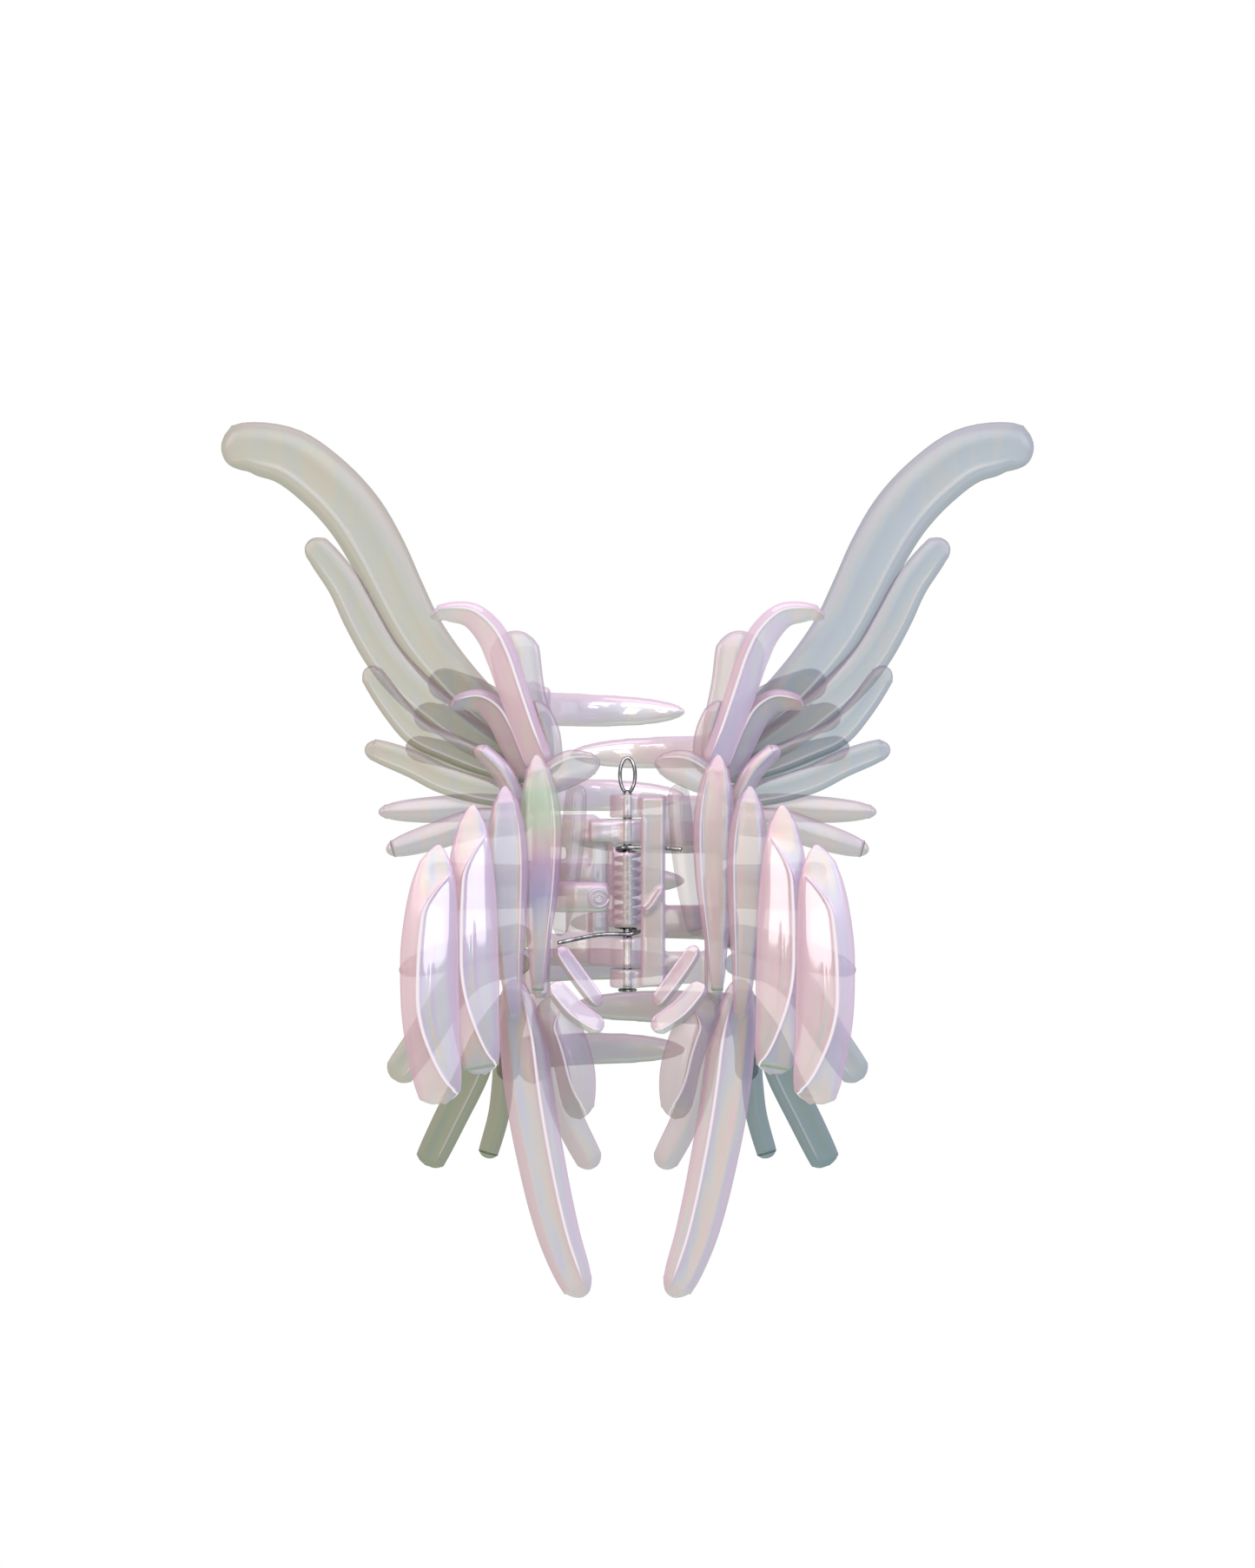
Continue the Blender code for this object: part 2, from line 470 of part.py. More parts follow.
def hinge_pin():
    """A straight pin with a flat round foot below and a drawn-out wire eye above."""
    top = OUTER_EARS[1][1] + 0.9
    pin = prism("hinge_pin", disc(PIN_RADIUS, 16), 0.1, top, "Z", 1, STEEL)
    foot = prism("foot", disc(PIN_FOOT_RADIUS, 20), 0.0, PIN_FOOT_THICKNESS, "Z", 1, STEEL)
    centre = top - 0.5 + EYE_HALF_HEIGHT
    count = 20
    wire, rings = 8, []
    for k in range(count):
        a = 2 * math.pi * k / count
        middle = Vector((EYE_HALF_WIDTH * math.sin(a), 0, centre - EYE_HALF_HEIGHT * math.cos(a)))
        outward = Vector((math.sin(a) / EYE_HALF_WIDTH, 0, -math.cos(a) / EYE_HALF_HEIGHT)).normalized()
        rings.append([middle + outward * u + Vector((0, v, 0)) for u, v in disc(EYE_WIRE_RADIUS, wire)])
    points = [p for ring in rings for p in ring]
    faces = []
    for i in range(count):
        n = (i + 1) % count
        for j in range(wire):
            m = (j + 1) % wire
            faces.append((i * wire + j, i * wire + m, n * wire + m, n * wire + j))
    eye = mesh_object("eye", points, faces, STEEL)
    join(pin, [foot, eye])
    pin.data.shade_smooth()
    pin.data.set_sharp_from_angle(angle=math.radians(40))
    return pin


def torsion_spring():
    """A close coil round the pin; its upper leg bears on the right cover, its lower leg on the left jaw."""
    low, high = SPRING_Z
    per_turn = 12
    count = SPRING_TURNS * per_turn
    lower_leg = [Vector(p) for p in SPRING_LOWER_LEG]
    upper_leg = [Vector((x, y, high - drop)) for x, y, drop in SPRING_UPPER_LEG]
    coil = []
    for i in range(count + 1):
        a = -0.5 * math.pi + 2 * math.pi * i / per_turn
        z = low + (high - low) * i / count
        coil.append(Vector((SPRING_COIL_RADIUS * math.cos(a), SPRING_COIL_RADIUS * math.sin(a), z)))
    return tube("torsion_spring", lower_leg + coil + upper_leg, SPRING_WIRE_RADIUS, 6, STEEL)


def wing(side, word, ears, first_tooth, arm_heights):
    """Every piece of one half, parented to an empty on the hinge axis."""
    hub = bpy.data.objects.new(f"{word}_wing", None)
    bpy.context.scene.collection.objects.link(hub)
    pieces = [feather(f"{word}_{name}", side, *values) for name, values in FEATHERS.items()]
    pieces.append(jaw(f"{word}_jaw", side, ears, tooth_heights(first_tooth), arm_heights))
    for piece in pieces:
        piece.parent = hub


def build():
    clear_scene()
    wing(-1, "left", INNER_EARS, 0, LEFT_ARM_Z)
    wing(1, "right", OUTER_EARS, 1, RIGHT_ARM_Z)
    hinge_pin()
    torsion_spring()


build()
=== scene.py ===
"""Looks of the fairy-wing hair claw: pearl resin feathers, one-piece jaws and bright spring steel."""

import json
import math
from collections import namedtuple

import bmesh
import bpy
import numpy as np
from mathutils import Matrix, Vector
from mathutils.bvhtree import BVHTree


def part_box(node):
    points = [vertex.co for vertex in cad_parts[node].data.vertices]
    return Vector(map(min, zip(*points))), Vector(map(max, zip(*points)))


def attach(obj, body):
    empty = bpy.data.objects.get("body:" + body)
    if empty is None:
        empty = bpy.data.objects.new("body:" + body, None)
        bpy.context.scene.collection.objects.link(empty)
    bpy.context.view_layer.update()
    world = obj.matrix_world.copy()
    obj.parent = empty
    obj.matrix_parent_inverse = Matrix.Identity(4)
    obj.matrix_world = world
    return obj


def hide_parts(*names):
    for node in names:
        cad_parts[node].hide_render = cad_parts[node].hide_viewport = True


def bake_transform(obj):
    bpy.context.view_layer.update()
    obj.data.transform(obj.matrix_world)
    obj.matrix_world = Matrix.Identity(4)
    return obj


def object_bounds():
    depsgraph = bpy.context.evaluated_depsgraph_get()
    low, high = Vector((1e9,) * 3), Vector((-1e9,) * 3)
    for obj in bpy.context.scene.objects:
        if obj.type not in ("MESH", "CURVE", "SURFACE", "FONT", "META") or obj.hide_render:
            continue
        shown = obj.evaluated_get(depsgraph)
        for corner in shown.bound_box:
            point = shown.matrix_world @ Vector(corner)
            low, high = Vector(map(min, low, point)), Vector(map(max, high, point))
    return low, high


MM = 0.001
WELD = 1e-7  # corners of a CAD node closer than this are one point
WING_ROOT = Vector((17 * MM, 0, 30 * MM))  # every feather starts at its end nearest to this point

# mesh of a feather: rings from base to tip, points over its front and under its back
STATIONS = 60
FRONT_POINTS = 60
BACK_POINTS = 12
# places across a feather, from 1 at its outer edge to -1 at its inner one, of a fold's and a panel's bead
FOLD = -0.66
PANEL_RIB = -0.4

# jaws: mesh size, rounds of smoothing, and how far the teeth are pushed out again after theirs
VOXEL = 0.36 * MM
JAW_ROUNDS = 26
TOOTH_ROUNDS = 60
TOOTH_GROWTH = 0.42 * MM
# where the teeth start behind the pin, how far their smoothing takes to set in, where the upper ones begin;
# below that the teeth get a darker resin, painted shade
TEETH_BEHIND = 13 * MM
TEETH_EASE = 3 * MM
UPPER_TEETH_ABOVE = 28 * MM
# the jaw's shoulder, beside and above which its resin is as thin as the long feathers
SHOULDER_BESIDE = 20.9 * MM
SHOULDER_ABOVE = 34 * MM

# the oval rings on the left jaw's front arm: name, half width, half height and wire radius
RING_X = -5.4 * MM
RING_DROP = 0.6 * MM
RINGS = (("outer", 1.8 * MM, 1.6 * MM, 0.34 * MM), ("inner", 0.8 * MM, 0.7 * MM, 0.28 * MM))

# the pin's wire eye, and the points in a closed loop of wire
EYE_HALF_HEIGHT = 3.3 * MM
EYE_HALF_WIDTH = 1.45 * MM
EYE_WIRE = 0.36 * MM
LOOP_STEPS = 96
LOOP_OVERLAP = 0.02 * MM  # the two ends of a loop pass each other by this much
PIN_SIDES = 28
# points along the spring, and those of them on one leg
SPRING_STEPS = 700
LEG_STEPS = 60

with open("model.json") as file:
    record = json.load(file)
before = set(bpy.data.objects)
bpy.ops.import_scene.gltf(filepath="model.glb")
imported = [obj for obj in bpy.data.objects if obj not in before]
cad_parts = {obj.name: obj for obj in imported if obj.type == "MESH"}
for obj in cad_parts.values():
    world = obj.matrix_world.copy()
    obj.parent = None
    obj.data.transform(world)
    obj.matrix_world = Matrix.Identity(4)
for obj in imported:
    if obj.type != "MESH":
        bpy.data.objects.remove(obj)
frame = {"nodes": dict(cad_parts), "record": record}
cad_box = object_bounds()


# ---- reading the frame's lofts ----
def welded(node):
    """Distinct points of a CAD node, and each point's neighbours."""
    mesh = frame["nodes"][node].data
    numbers = {}
    places = [tuple(round(c / WELD) for c in v.co) for v in mesh.vertices]
    index = [numbers.setdefault(place, len(numbers)) for place in places]
    points = [None] * len(numbers)
    for i, v in zip(index, mesh.vertices):
        points[i] = v.co.copy()
    near = [set() for _ in numbers]
    for edge in mesh.edges:
        a, b = (index[i] for i in edge.vertices)
        if a != b:
            near[a].add(b)
            near[b].add(a)
    return points, near


def rings_of(node, count):
    """The rings of a lofted CAD node, from pole to pole, as lists of points. A pole is a ring of one."""
    points, near = welded(node)
    for pole in range(len(points)):
        if len(near[pole]) != count:
            continue
        rings, seen = [[pole]], {pole}
        while True:
            following = {n for i in rings[-1] for n in near[i]} - seen
            if not following:
                break
            seen |= following
            rings.append(sorted(following))
        if len(rings[-1]) == 1 and all(len(ring) == count for ring in rings[1:-1]):
            return [[points[i] for i in ring] for ring in rings]
    raise ValueError(f"{node} isn't a loft of rings of {count}")


def stretch_of(stops, length):
    """The stretch between two stops that holds a length, and how far along it the length is, 0 to 1."""
    i = int(np.clip(np.searchsorted(stops, length, side="right") - 1, 0, len(stops) - 2))
    return i, (length - stops[i]) / (stops[i + 1] - stops[i])


def smooth_through(values, stops, wanted):
    """Catmull-Rom values at the wanted lengths, through rows of values at the stops."""
    rows = np.vstack([2 * values[0] - values[1], values, 2 * values[-1] - values[-2]])
    out = []
    for length in wanted:
        i, u = stretch_of(stops, length)
        a, b, c, d = rows[i : i + 4]
        square, cube = 2 * a - 5 * b + 4 * c - d, 3 * b - a - 3 * c + d
        out.append(0.5 * (2 * b + (c - a) * u + square * u**2 + cube * u**3))
    return np.array(out)


def monotone_through(values, stops, wanted):
    """Monotone cubic values at the wanted lengths, so a width never bulges between two rings."""
    steps = np.diff(stops)
    slopes = np.diff(values) / steps
    product = slopes[1:] * slopes[:-1]
    middle = np.where(product > 0, 2 * product / (slopes[1:] + slopes[:-1] + 1e-30), 0)
    ends = np.concatenate([[slopes[0]], middle, [slopes[-1]]])
    out = []
    for length in wanted:
        i, u = stretch_of(stops, length)
        rise = (1 + 2 * u) * (1 - u) ** 2 * values[i] + u**2 * (3 - 2 * u) * values[i + 1]
        out.append(rise + steps[i] * (u * (1 - u) ** 2 * ends[i] - u**2 * (1 - u) * ends[i + 1]))
    return np.array(out)


def lengths_along(path):
    """The length of a path up to each of its points."""
    return np.concatenate([[0], np.cumsum(np.linalg.norm(np.diff(path, axis=0), axis=1))])


def feather_path(node, side):
    """A feather's centre and across direction, half width, front height, back height and share of its length.

    Each has STATIONS values from base to tip. A left feather is given as its mirror image on the right."""
    rings = rings_of(node, 8)
    root = Vector((side * WING_ROOT.x, WING_ROOT.y, WING_ROOT.z))
    if (rings[0][0] - root).length > (rings[-1][0] - root).length:
        rings.reverse()
    rings = [np.array([(side * p.x, p.y, p.z) for p in ring]) for ring in rings]
    middles = np.array([ring.mean(0) for ring in rings])
    rows, halves = [], []
    for k, ring in enumerate(rings):
        along = middles[min(k + 1, len(rings) - 1)] - middles[max(k - 1, 0)]
        across = np.array([-along[2], 0, along[0]])
        across /= np.linalg.norm(across)
        if len(ring) == 1:
            rows.append([*ring[0], across[0], across[2], 0, 0])
            halves.append(0)
            continue
        reach = ring @ across
        outer, inner = ring[reach.argmax()], ring[reach.argmin()]
        span = (outer - inner) * (1, 0, 1)
        half = np.linalg.norm(span) / 2
        across = span / (2 * half)
        centre = (outer + inner) / 2
        front, back = centre[1] - ring[:, 1].min(), ring[:, 1].max() - centre[1]
        rows.append([*centre, across[0], across[2], front, back])
        halves.append(half)
    rows, halves = np.array(rows), np.array(halves)
    stops = lengths_along(rows[:, :3])
    wanted = stops[-1] * (0.5 - 0.5 * np.cos(np.pi * np.linspace(0, 1, STATIONS)))
    dense = smooth_through(rows[:, :5], stops, wanted)
    half = np.sqrt(np.maximum(monotone_through(halves**2, stops, wanted), 0))
    front = np.sqrt(np.maximum(monotone_through(rows[:, 5] ** 2, stops, wanted), 0))
    back = np.sqrt(np.maximum(monotone_through(rows[:, 6] ** 2, stops, wanted), 0))
    return dense, half, front, back, wanted / stops[-1]


# ---- cross-sections of a feather's front ----
# u is the place across, 1 at the outer or upper edge and -1 at the other. t is the place along, 0 to 1.
# wide is the width there over the feather's greatest width. Each section gives its height, then how much of a
# painted highlight glows along its ridge, and then how dull the surface is.
def edge_round(u, sharpness):
    return (1 - np.abs(u) ** sharpness) ** 0.5


def bump(u, centre, width):
    return np.exp(-(((u - centre) / width) ** 2))


def spoon(u, t, wide):
    """A nearly flat blade whose upper side rolls off broadly, with a fine bead along the lower side."""
    fade = min(1, 6 * t) * min(1, 7 * (1 - t))
    roll = np.clip((u - 0.25) / 0.75, 0, 1)
    top = np.sqrt(1 - roll**2.3)
    low = edge_round(np.minimum(u, 0), 6)
    channel = 0.1 * np.clip(1 - ((u + 0.3) / 0.62) ** 2, 0, 1)
    bead = fade * bump(u, -0.55, 0.08)
    return np.minimum(top, low) * (0.94 - fade * channel + 0.05 * bead), bead, 0 * u


def lens(u, t, wide):
    """A smooth dome with a soft midrib."""
    return edge_round(u, 2.4) * (0.86 + 0.14 * bump(u, 0.1, 0.3)), 0 * u, 0 * u


def eased(value):
    """A quarter sine from 0 to 1."""
    return math.sin(math.pi / 2 * min(1, max(0, value)))


def blade_crease(t):
    """The crease leaves the inner edge below the top, runs beyond the middle and comes back at the tip."""
    return -0.98 + (1.2 + 0.28 * t) * eased((t - 0.1) / 0.18) * eased((0.97 - t) / 0.4) ** 0.6


def blade(u, t, wide):
    """A finger blade: an outer and an inner facet that fall away on either side of a beaded crease."""
    leave, close, crease = eased((t - 0.1) / 0.18), eased((0.97 - t) / 0.4), blade_crease(t)
    inner_slope = 0.46 * wide
    top = 0.9 - 0.6 * wide + inner_slope * (crease + 1)
    outer_slope = (top - 0.55) / (1 - crease)
    rise = np.where(u > crease, top - outer_slope * (u - crease), top - inner_slope * (crease - u))
    rib = bump(u, crease - 0.42, 0.06) * min(1, max(0, (t - 0.42) / 0.15)) * close
    ridge = leave * bump(u, crease, 0.07)
    dull = 0.9 * (u > crease)
    return edge_round(u, 8) * (rise + 0.13 * ridge + 0.05 * rib), ridge + 0.35 * rib, dull


def curl_crease(t):
    return 0.5 - 0.1 * t


def curl(u, t, wide):
    """A curled feather: a broad outer facet and a narrow inner one meet at a ridge."""
    crease = curl_crease(t)
    fade = min(1, 5 * t) * min(1, 6 * (1 - t))
    rise = np.where(u > crease, 0.94 - 1.0 * (u - crease), 0.86 - 0.45 * (crease - u))
    ridge = fade * bump(u, crease, 0.11)
    return edge_round(u, 5) * (rise + 0.16 * ridge), ridge, 0 * u


def panel(u, t, wide):
    """A flat panel between two fine ribs; the inner rib stands higher."""
    fade = min(1, 5 * t) * min(1, 9 * (1 - t))
    inner, outer = bump(u, PANEL_RIB, 0.08), bump(u, 0.56, 0.07)
    relief = 0.2 * inner + 0.12 * outer - 0.1 * bump(u, 0.05, 0.3)
    return edge_round(u, 5) * (0.74 + fade * relief), fade * (0.9 * inner + 0.35 * outer), 0 * u


def fold(u, t, wide):
    """A broad, nearly flat facet with a beaded fold beside its inner edge."""
    fade = min(1, 5 * t) * min(1, 5 * (1 - t))
    rise = np.where(u > FOLD, 0.74 + 0.22 * (u - FOLD), 0.74 - 0.5 * (FOLD - u))
    ridge = fade * bump(u, FOLD, 0.08)
    return edge_round(u, 5) * (rise + 0.14 * ridge), 0.7 * ridge, 0.5 + 0 * u


SECTIONS = {
    "primary": spoon,
    "secondary": lens,
    "tail": lens,
    "inner": curl,
    "crest": lens,
    "curl": curl,
    "covert": blade,
    "covert_3": fold,
    "covert_4": fold,
    "lever": lens,
    "primary_5": lens,
    "primary_6": lens,
    "secondary_3": panel,
    "tail_1": panel,
    "tail_4": panel,
    "tail_6": blade,
    "curl_3": lens,
    "lever_petal": spoon,
}

# where a section's ridge lies across, so that mesh points can follow it
CREASES = {blade: blade_crease, curl: curl_crease, panel: lambda t: PANEL_RIB, fold: lambda t: FOLD}
PLAIN_CREASE = -0.3  # the same for sections without a ridge
# how much more a blade bulges at its upper end than at its tip
LEAN = {"covert_2": 0.24}


def places_across(crease):
    """Places from the outer edge, 1, to the inner one, -1, which gather at both edges and at the crease."""
    outer, inner = FRONT_POINTS // 3, FRONT_POINTS - FRONT_POINTS // 3
    first = 0.5 + 0.5 * np.cos(np.pi * np.arange(outer) / outer)
    second = 0.5 + 0.5 * np.cos(np.pi * np.arange(inner + 1) / inner)
    return np.concatenate([crease + (1 - crease) * first, -1 + (crease + 1) * second])


def section_of(feather):
    return SECTIONS.get(feather) or SECTIONS[feather.rsplit("_", 1)[0]]


def stand_for(node):
    """Hides the CAD node that a piece stands for."""
    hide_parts(node)


def mesh_piece(name, points, faces, shader):
    """A closed, smooth mesh with its faces outward."""
    mesh = bpy.data.meshes.new(name)
    mesh.from_pydata([tuple(p) for p in points], [], faces)
    work = bmesh.new()
    work.from_mesh(mesh)
    bmesh.ops.recalc_face_normals(work, faces=work.faces)
    if work.calc_volume(signed=True) < 0:
        bmesh.ops.reverse_faces(work, faces=work.faces)
    work.to_mesh(mesh)
    work.free()
    mesh.shade_smooth()
    mesh.materials.append(shader)
    piece = bpy.data.objects.new(name, mesh)
    bpy.context.scene.collection.objects.link(piece)
    return piece


def closed_tube(rings, start, end):
    """Points and faces of a tube through equal rings, closed by a point at each end."""
    count = len(rings[0])
    points = [p for ring in rings for p in ring] + [start, end]
    faces = []
    for i in range(len(rings) - 1):
        for k in range(count):
            n = (k + 1) % count
            faces.append((i * count + k, i * count + n, (i + 1) * count + n, (i + 1) * count + k))
    last = (len(rings) - 1) * count
    for k in range(count):
        n = (k + 1) % count
        faces.append((len(points) - 2, n, k))
        faces.append((len(points) - 1, last + k, last + n))
    return points, faces


def feather(node, side, word, shader):
    """The finished blade that stands for a CAD feather."""
    section = section_of(node.split("_", 1)[1])
    dense, half, front, back, shares = feather_path(node, side)
    ends = 2 * shares - 1
    if section is fold:
        front = front * (1 - np.abs(ends) ** 5) ** 0.6
        half = half * (1 - 0.5 * np.clip((shares - 0.4) / 0.6, 0, 1) ** 2)
    elif section is blade:
        lean = 1 - LEAN.get(node.split("_", 1)[1], 0) * (shares - 0.5)
        front = 1.35 * front.max() * (1 - 0.25 * ends**2) * (1 - np.abs(ends) ** 3) ** 0.6 * lean
    crease_of = CREASES.get(section, lambda t: PLAIN_CREASE)
    under = np.cos(np.pi * np.arange(BACK_POINTS - 1, 0, -1) / BACK_POINTS)
    rings, ridges, dulls = [], [], []
    for row, w, f, b, t in list(zip(dense, half, front, back, shares))[1:-1]:
        centre = row[:3]
        across = np.array([row[3], 0, row[4]]) / math.hypot(row[3], row[4])
        over = places_across(crease_of(t))
        heights, ridge, dull = section(over, t, w / half.max())
        ridges += [*ridge, *np.zeros(BACK_POINTS - 1)]
        dulls += [*dull, *np.zeros(BACK_POINTS - 1)]
        top = [centre + across * w * u - (0, f * h, 0) for u, h in zip(over, heights)]
        low = [centre + across * w * u + (0, b * h, 0) for u, h in zip(under, edge_round(under, 3))]
        rings.append(np.array(top + low) * (side, 1, 1))
    points, faces = closed_tube(rings, dense[0][:3] * (side, 1, 1), dense[-1][:3] * (side, 1, 1))
    piece = mesh_piece(f"{node}_resin", points, faces, shader)
    # ridge marks where a painted highlight glows; dull marks where the mirror layer is weaker
    for label, values in (("ridge", ridges), ("dull", dulls)):
        piece.data.attributes.new(label, "FLOAT", "POINT").data.foreach_set("value", [*values, 0, 0])
    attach(piece, f"{word}_wing")
    stand_for(node)


def vertex_values(mesh, label):
    """A vector of every vertex, co or normal, as rows."""
    values = np.empty(3 * len(mesh.vertices))
    mesh.vertices.foreach_get(label, values)
    return values.reshape(-1, 3)


def set_points(mesh, points):
    mesh.vertices.foreach_set("co", points.ravel())
    mesh.update()


def relax(mesh):
    """Evens out a jaw's facets. Each pull inwards is followed by a push outwards, which keeps the volume.

    The teeth are smoothed far more, and are then pushed out to their size again."""
    points = vertex_values(mesh, "co")
    count = len(points)
    ends = np.empty(2 * len(mesh.edges), dtype=np.int32)
    mesh.edges.foreach_get("vertices", ends)
    ends = ends.reshape(-1, 2)
    here, there = np.concatenate([ends, ends[:, ::-1]]).T
    degree = np.maximum(np.bincount(here, minlength=count), 1)

    def to_neighbours():
        sums = [np.bincount(here, points[there, k], count) for k in range(3)]
        return np.stack(sums, axis=1) / degree[:, None] - points

    for _ in range(JAW_ROUNDS):
        for share in (0.5, -0.515):
            points += share * to_neighbours()
    behind = np.clip((points[:, 1:2] - TEETH_BEHIND) / TEETH_EASE, 0, 1)
    for _ in range(TOOTH_ROUNDS):
        points += 0.5 * behind * to_neighbours()
    set_points(mesh, points)
    points += TOOTH_GROWTH * behind * vertex_values(mesh, "normal")
    set_points(mesh, points)


def moulded(node):
    """The mesh of a CAD node as one seamless moulding, with fillets for its joins."""
    rough = bpy.data.objects.new(f"{node}_rough", frame["nodes"][node].data.copy())
    bpy.context.scene.collection.objects.link(rough)
    remesh = rough.modifiers.new("voxels", "REMESH")
    remesh.mode = "VOXEL"
    remesh.voxel_size = VOXEL
    bpy.context.view_layer.update()
    graph = bpy.context.evaluated_depsgraph_get()
    mesh = bpy.data.meshes.new_from_object(rough.evaluated_get(graph))
    bpy.data.objects.remove(rough)
    relax(mesh)
    mesh.shade_smooth()
    return mesh


def jaw(node, word, resins):
    """The jaw, in the resin families that its hinge, shoulder, upper teeth and lower teeth have; the lower
    teeth's resin is a darker copy, painted shade.
    """
    mesh = moulded(node)
    mesh.materials.clear()
    for family in ("hinge", "thin", "tooth", "shaded_low_tooth"):
        mesh.materials.append(resins[family])
    for face in mesh.polygons:
        if abs(face.center.x) > SHOULDER_BESIDE and face.center.z > SHOULDER_ABOVE:
            face.material_index = 1
        elif face.center.y > TEETH_BEHIND:
            face.material_index = 2 if face.center.z > UPPER_TEETH_ABOVE else 3
    piece = bpy.data.objects.new(f"{node}_resin", mesh)
    bpy.context.scene.collection.objects.link(piece)
    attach(piece, f"{word}_wing")
    stand_for(node)
    return piece


def ring_on_arm(node, word, moulding, shader):
    """The oval rings on the front of the arm that crosses the spring. They follow the arm's surface."""
    low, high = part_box("torsion_spring")
    centre = Vector((RING_X, low.y - 5 * MM, (low.z + high.z) / 2 - RING_DROP))
    corners = [v.co for v in moulding.data.vertices]
    surface = BVHTree.FromPolygons(corners, [f.vertices for f in moulding.data.polygons])
    for name, half_width, half_height, radius in RINGS:
        path = []
        for k in range(LOOP_STEPS + 1):
            turn = 2 * math.pi * k / LOOP_STEPS
            start = centre + Vector((half_width * math.cos(turn), 0, half_height * math.sin(turn)))
            hit = surface.ray_cast(start, Vector((0, 1, 0)))[0]
            forward = 0.3 * radius + 0.5 * LOOP_OVERLAP * k / LOOP_STEPS
            path.append(np.array(hit) - (0, forward, 0))
        ring = wire(f"{node}_ring_{name}", path, radius, 12, shader)
        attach(ring, f"{word}_wing")
        stand_for(node)


def wire(name, path, radius, sides, shader):
    """A round wire along a dense path, narrowed over its last two rings at both ends."""
    rings, normal = [], np.array([0.0, 0.0, 1.0])
    turns = 2 * np.pi * np.arange(sides) / sides
    for i in range(1, len(path) - 1):
        along = path[i + 1] - path[i - 1]
        along /= np.linalg.norm(along)
        normal = normal - along * (normal @ along)
        normal /= np.linalg.norm(normal)
        beside = np.cross(along, normal)
        near_end = min(i, len(path) - 1 - i)
        reach = radius * min(1, 0.6 + 0.2 * near_end)
        rings.append([path[i] + (normal * math.cos(a) + beside * math.sin(a)) * reach for a in turns])
    points, faces = closed_tube(rings, path[0], path[-1])
    return mesh_piece(name, points, faces, shader)


def spring(shader):
    """The torsion spring in two halves."""
    rings = rings_of("torsion_spring", 6)
    path = np.array([np.mean([tuple(p) for p in ring], axis=0) for ring in rings])
    if path[0][2] > path[-1][2]:
        path = path[::-1]
    half_way = len(rings) // 2
    radius = np.linalg.norm(np.array(rings[half_way][0]) - np.mean(rings[half_way], axis=0))
    stops = lengths_along(path)
    dense = smooth_through(path, stops, np.linspace(0, stops[-1], SPRING_STEPS))
    middle = SPRING_STEPS // 2
    left, right = dense[: middle + 2], dense[middle:][::-1]
    for word, part, leg in (("left", left, dense[LEG_STEPS]), ("right", right, dense[-LEG_STEPS])):
        piece = wire(f"torsion_spring_{word}", part, radius, 14, shader)
        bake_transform(piece)
        stand_for("torsion_spring")


def pin(shader):
    """Straight pin with a round foot and a drawn-out wire eye."""
    low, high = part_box("hinge_pin")
    foot = max(high.x, -low.x)
    shaft = 0.47 * foot
    top = high.z - 2 * EYE_HALF_HEIGHT - EYE_WIRE + 0.3 * MM
    # radius and height, from the middle of the foot to the middle of the top
    profile = [
        (0.9 * foot, low.z), (foot, low.z + 0.12 * MM), (foot, low.z + 0.4 * MM),
        (0.92 * foot, low.z + 0.5 * MM), (1.12 * shaft, low.z + 0.55 * MM), (shaft, low.z + 0.75 * MM),
        (shaft, top - 0.5 * MM), (0.9 * shaft, top - 0.2 * MM), (0.55 * shaft, top + 0.1 * MM)]
    turns = 2 * np.pi * np.arange(PIN_SIDES) / PIN_SIDES
    rings = [[(r * math.cos(a), r * math.sin(a), z) for a in turns] for r, z in profile]
    points, faces = closed_tube(rings, (0, 0, low.z), (0, 0, top + 0.2 * MM))
    shank = mesh_piece("hinge_pin_shank", points, faces, shader)
    shank.data.set_sharp_from_angle(angle=math.radians(50))
    centre = high.z - EYE_HALF_HEIGHT - EYE_WIRE
    loop = []
    for k in range(LOOP_STEPS + 1):
        a = 2 * math.pi * k / LOOP_STEPS
        across, up = EYE_HALF_WIDTH * math.sin(a), centre - EYE_HALF_HEIGHT * math.cos(a)
        loop.append(np.array([across, LOOP_OVERLAP * k / LOOP_STEPS, up]))
    eye = wire("hinge_pin_eye", loop, EYE_WIRE, 14, shader)
    for piece in (shank, eye):
        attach(piece, "hinge")
        stand_for("hinge_pin")


# ---- colours ----
# pearl colour and painted light of a surface that faces left, the viewer, and right: peach pink to the left
# and lavender to the right, as the light falls on it
PEARL_AND_PAINTED_LIGHT_HUES = (
    (0.0, (0.86, 0.59, 0.66)), (0.22, (0.85, 0.61, 0.65)), (0.38, (0.80, 0.66, 0.61)),
    (0.5, (0.73, 0.67, 0.66)),
    (0.62, (0.64, 0.65, 0.75)), (0.8, (0.66, 0.60, 0.82)), (1.0, (0.76, 0.61, 0.83)))
# painted light: lilac on surfaces that face up, green on surfaces that face down
PAINTED_TOP_LIGHT = (0.84, 0.60, 0.80)
PAINTED_UNDERSIDE_LIGHT = (0.62, 0.71, 0.61)
# painted shade along the edges, where a surface turns away from the view
PAINTED_EDGE_SHADE = (0.34, 0.38, 0.36)
# the painted highlight that glows white along ridges
PAINTED_RIDGE_HIGHLIGHT = (1.0, 0.95, 0.98)
GLARE_WHITE = (1.0, 0.97, 1.0)
